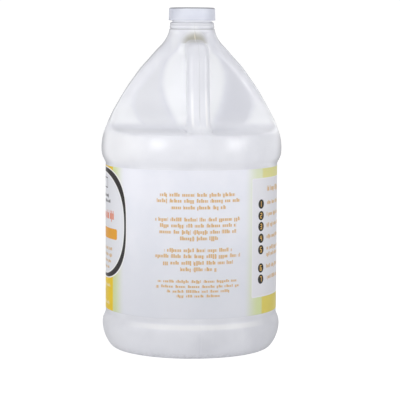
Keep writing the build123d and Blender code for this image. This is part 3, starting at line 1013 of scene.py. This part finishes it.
def label_print():
    box_group, line_group = ink_box(), ink_line()
    net = material(label_film, "label_film")
    mm = object_mm(net)
    x, y, z = mm.split()
    u = x.math("ARCTAN2", y * -1.0) * PRINT_R

    def stamp(group, *values):
        return net.put("ShaderNodeGroup", dict(enumerate((u, z, *values))), node_tree=group)

    def box(mid_u, mid_z, half_u, half_z, corner):
        return stamp(box_group, mid_u, mid_z, half_u, half_z, corner)

    def line(start, end, mid_z, half_z, seed):
        return stamp(line_group, (start + end) / 2, mid_z, (end - start) / 2, half_z, seed)

    def lines(table):
        return [line(*row) for row in table]

    def oval(half_u, half_z, mid_z, power):
        """Level of a rounded oval on the left panel: 1 on its edge, less inside."""
        out_u = abs((u + PANEL_U) / half_u).math("POWER", power)
        out_z = abs((z - mid_z) / half_z).math("POWER", power)
        return (out_u + out_z).math("POWER", 1.0 / power)

    from_left = abs(u + PANEL_U)
    from_right = abs(u - PANEL_U)
    ink = mm.noise(0.03).ramp(0.35, 0.7).mix(PAPER, srgb(238, 240, 249))
    # painted shade: greyer towards the foot of the label
    ink = ink.paint(z.ramp(160.0, 38.0, high=0.34), srgb(210, 212, 217))
    # green-yellow wash that fades into the film, then the solid yellow band
    ink = ink.paint(from_left.ramp(46.0, 27.0), PALE, amount=0.85)
    ink = ink.paint((26.4 - from_left).edge(0.4), YELLOW)
    # the right panel, stronger towards its foot, with a pale box
    low = z.ramp(110.0, 45.0)
    ink = ink.paint(from_right.ramp(79.0, 60.0), PALE, amount=low.blend(0.55, 0.80))
    ink = ink.paint((55.4 - from_right).edge(2.5), low.mix(srgb(232, 226, 140), srgb(232, 214, 96)),
                    amount=low.blend(0.80, 0.95))
    ink = ink.paint(box(PANEL_U, 101.1, 69.3, 51.0, corner=1.5), srgb(240, 240, 245))
    ink = ink.paint(box(PANEL_U, 101.1, 68.3, 50.0, corner=1.2), srgb(235, 235, 241))
    # oval frame: white line, dark ring, white line, pale middle
    outer = oval(47.5, 47.5, mid_z=111.0, power=3.0)
    inner = oval(45.0, 44.3, mid_z=110.5, power=2.45)
    for shape, size, colour in ((outer, 1.020, WHITE), (outer, 1.0, INK), (inner, 1.0, WHITE),
                                (inner, 0.975, srgb(236, 237, 243))):
        ink = ink.paint((size - shape).edge(0.006), colour)
    # left panel: one plain band, a small framed box and made-up lines
    ink = ink.paint(box(-PANEL_U, 102.2, 34.2, 4.6, corner=2.0), srgb(240, 168, 40))
    ink = ink.paint(line(-146.0, -89.6, 117.3, 4.9, seed=3.0), srgb(236, 112, 36))
    ink = ink.paint(net.most(lines(LEFT_DARK) + [box(-PANEL_U, 145.5, 13.0, 4.6, corner=1.0)]),
                    srgb(70, 66, 70))
    ink = ink.paint(box(-PANEL_U, 145.5, 12.2, 3.8, corner=0.6), srgb(236, 237, 243))
    ink = ink.paint(net.most(lines(LEFT_TEXT)), ORANGE)
    ink = ink.paint(net.most(lines(LEFT_LIGHT)), srgb(252, 246, 214), amount=0.7)
    # paragraphs between the panels
    text = [line(*row, 2.1, 11.0 * k + 2.0) for k, row in enumerate(TEXT)]
    text += [line(*row, 1.55, 13.0 * k + 7.0) for k, row in enumerate(SMALL)]
    ink = ink.paint(net.most(text), ORANGE)
    # directions: numbered spots with a made-up line beside each
    text = [line(69.5, end, mid_z + 0.4, 2.2, 17.0 * k + 5.0)
            for k, (mid_z, end, _) in enumerate(STEPS)]
    ink = ink.paint(net.most(text + lines(RIGHT_EXTRA)), ORANGE)
    spots = [box(SPOT_U, mid_z, 4.0, 4.0, corner=3.98) for mid_z, _, _ in STEPS]
    ink = ink.paint(net.most(spots), srgb(30, 24, 22))
    marks = []
    for mid_z, _, digit in STEPS:
        for key in digit:
            side, rise, half_u, half_z = SEGMENTS[key]
            # the digit 1 is centred on its spot
            side = side - 1.0 if digit == "bc" else side
            marks.append(box(SPOT_U + side, mid_z + rise, half_u, half_z, corner=0.34))
    ink = ink.paint(net.most(marks), srgb(240, 190, 90))
    # small print near the overlap
    text = [line(-222.0 + 3 * (k % 2), -182.0 - 4 * ((k * 5) % 3), 118.0 - 5.0 * k, 1.5,
                 19.0 * k + 3.0) for k in range(7)]
    ink = ink.paint(net.most(text), ORANGE)
    # scuffs, most at the top and bottom edges
    scuff = mm.stretch(0.30, 0.30, 1.3).noise(detail=5.0, rough=0.7).ramp(0.64, 0.80)
    rim = z.ramp(37.4, 35.6) + z.ramp(158.2, 159.9)
    worn = (rim * 0.5 + 0.12).math("MULTIPLY", scuff, clamp=True)
    ink = ink.paint(worn, srgb(214, 213, 212))
    # painted shade: the print darkens towards the edge of the view
    facing = net.facing()
    ink = ink.scale(facing.ramp(0.25, 0.90, low=1.0, high=0.88))
    sag = mm.stretch(0.020, 0.020, 0.008).noise(detail=2.0)
    film = mm.noise(0.7, detail=2.0)
    fine = mm.stretch(1.6, 1.6, 0.05).noise(detail=2.0).ramp(0.72, 0.76)
    rough = film.ramp(0.3, 0.7, low=0.285, high=0.325) + (worn * 0.25 + fine * 0.05)
    net.surface(ink, rough, sag * 0.95 + film * 0.05, strength=0.22, depth=0.30, ior=1.48,
                more={"Specular IOR Level": facing.ramp(0.25, 0.72, low=0.5, high=0.07)})


jug_plastic()
cap_plastic()
liner_foam()
label_print()


# ------------------------------------------------------ floor, world and lights
FLOOR_HALF = 30.0             # m


def glowing(net, colour, strength):
    """A diffuse surface with white light of its own."""
    diffuse = net.put("ShaderNodeBsdfDiffuse", {"Color": colour})
    light = net.put("ShaderNodeEmission", {"Color": (1, 1, 1, 1), "Strength": strength})
    return net.put("ShaderNodeAddShader", {0: diffuse, 1: light})


def build_floor():
    """White to the camera; dimmer in what it throws on the jug."""
    mesh = bpy.data.meshes.new("floor")
    mesh.from_pydata([(side * FLOOR_HALF, front * FLOOR_HALF, 0)
                      for side, front in ((-1, -1), (1, -1), (1, 1), (-1, 1))],
                     [], [(0, 1, 2, 3)])
    floor = bpy.data.objects.new("floor", mesh)
    bpy.context.scene.collection.objects.link(floor)
    floor.location.z = -0.0002
    net = material(floor, "floor")
    paper = net.put("ShaderNodeTexCoord", out="Object").noise(3.0)
    seen = glowing(net, paper.mix((0.15, 0.15, 0.15, 1), (0.17, 0.17, 0.17, 1)), 0.975)
    bounce = glowing(net, (0.42, 0.42, 0.43, 1), 0.43)
    camera_ray = net.put("ShaderNodeLightPath", out="Is Camera Ray")
    net.output("ShaderNodeOutputMaterial",
               net.put("ShaderNodeMixShader", {0: camera_ray, 1: bounce, 2: seen}))


def build_world():
    """White to the camera; otherwise a band of light behind (+Y) and a soft light above."""
    world = bpy.data.worlds.new("studio")
    bpy.context.scene.world = world
    net = empty_net(world)
    x, y, z = net.put("ShaderNodeTexCoord", out="Generated").split()
    azimuth = abs(x.math("ARCTAN2", y * -1.0))
    rear = z.band(rise=(-0.1, 0.0), fall=(0.62, 0.45)) * azimuth.ramp(2.2, 2.5) * 0.90
    level = rear + z.ramp(0.45, 0.62) * 0.40
    room = net.put("ShaderNodeBackground", {"Color": (0.995, 0.995, 1.0, 1), "Strength": level})
    white = net.put("ShaderNodeBackground", {"Color": (1, 1, 1, 1), "Strength": 1.06})
    camera_ray = net.put("ShaderNodeLightPath", out="Is Camera Ray")
    net.output("ShaderNodeOutputWorld",
               net.put("ShaderNodeMixShader", {0: camera_ray, 1: room, 2: white}))


# (name, azimuth in degrees from the front towards +X, distance and height in m, size in m,
#  brightness per area, height aimed at in m, spread in degrees)
SOFTBOXES = [
    ("side_left", -85.0, 1.5, 0.30, (0.6, 1.0), 2.6, 0.17, 180.0),
    ("side_right", 85.0, 1.5, 0.30, (0.6, 1.0), 1.15, 0.17, 180.0),
    ("key_left", -48.0, 0.9, 0.36, (0.35, 0.25), 1.30, 0.30, 70.0),
    ("key_right", 50.0, 0.9, 0.36, (0.35, 0.25), 1.35, 0.30, 70.0),
    ("front", -2.0, 1.0, 0.40, (0.5, 0.25), 0.55, 0.30, 70.0),
    ("front_high", -6.0, 1.2, 0.95, (1.2, 0.7), 0.42, 0.17, 180.0),
    ("overhead", -6.0, 0.25, 1.5, (1.2, 1.2), 1.15, 0.17, 180.0),
    ("rear_right", 135.0, 1.2, 0.5, (0.8, 0.8), 0.70, 0.17, 180.0),
    ("rear_left", -135.0, 1.2, 0.5, (0.8, 0.8), 0.30, 0.17, 180.0)]


def softbox(name, azimuth, distance, height, size, radiance, aim, spread):
    angle = math.radians(azimuth)
    data = bpy.data.lights.new(name, "AREA")
    data.shape = "RECTANGLE"
    data.size, data.size_y = size
    data.energy = radiance * math.pi * size[0] * size[1]
    data.spread = math.radians(spread)
    light = bpy.data.objects.new(name, data)
    light.location = (distance * math.sin(angle), -distance * math.cos(angle), height)
    light.rotation_mode = "QUATERNION"
    toward = Vector((0, 0, aim)) - light.location
    light.rotation_quaternion = toward.to_track_quat("-Z", "Y")
    light.visible_camera = False
    bpy.context.scene.collection.objects.link(light)


build_floor()
build_world()
for row in SOFTBOXES:
    softbox(*row)

# --------------------------------------------------------------------- camera
CAM_AZIMUTH = math.radians(-6.3)    # from the front towards +X
CAM_DISTANCE = 1489.8               # mm from the axis
CAM_Z = 268.9                       # mm
CAM_PITCH = 0.0938                  # downwards, radians
CAM_YAW = 0.0051591264              # to the camera's right, radians
CAM_ROLL = math.radians(0.30)
CAM_LENS = 153.513                  # mm on the sensor below
CAM_SENSOR = 36.0


def build_camera():
    data = bpy.data.cameras.new("camera")
    data.sensor_width = CAM_SENSOR
    data.lens = CAM_LENS
    data.clip_start, data.clip_end = 0.1, 60.0
    camera = bpy.data.objects.new("camera", data)
    bpy.context.scene.collection.objects.link(camera)
    sine, cosine = math.sin(CAM_AZIMUTH), math.cos(CAM_AZIMUTH)
    ahead = Vector((-sine, cosine, 0.0))
    side = Vector((cosine, sine, 0.0))
    above = Vector((0.0, 0.0, 1.0))
    forward = ahead * math.cos(CAM_YAW) + side * math.sin(CAM_YAW)
    side = side * math.cos(CAM_YAW) - ahead * math.sin(CAM_YAW)
    look = forward * math.cos(CAM_PITCH) - above * math.sin(CAM_PITCH)
    upward = above * math.cos(CAM_PITCH) + forward * math.sin(CAM_PITCH)
    right = side * math.cos(CAM_ROLL) + upward * math.sin(CAM_ROLL)
    upward = upward * math.cos(CAM_ROLL) - side * math.sin(CAM_ROLL)
    camera.location = (CAM_DISTANCE * MM * sine, -CAM_DISTANCE * MM * cosine, CAM_Z * MM)
    camera.rotation_mode = "QUATERNION"
    camera.rotation_quaternion = Matrix((right, upward, -look)).transposed().to_quaternion()
    bpy.context.scene.camera = camera


build_camera()
view = bpy.context.scene.view_settings
view.view_transform = "Standard"
view.look = "None"
view.exposure = 0.0
view.gamma = 1.0

# ---------------------------------------------------------------- final update
bpy.context.view_layer.update()
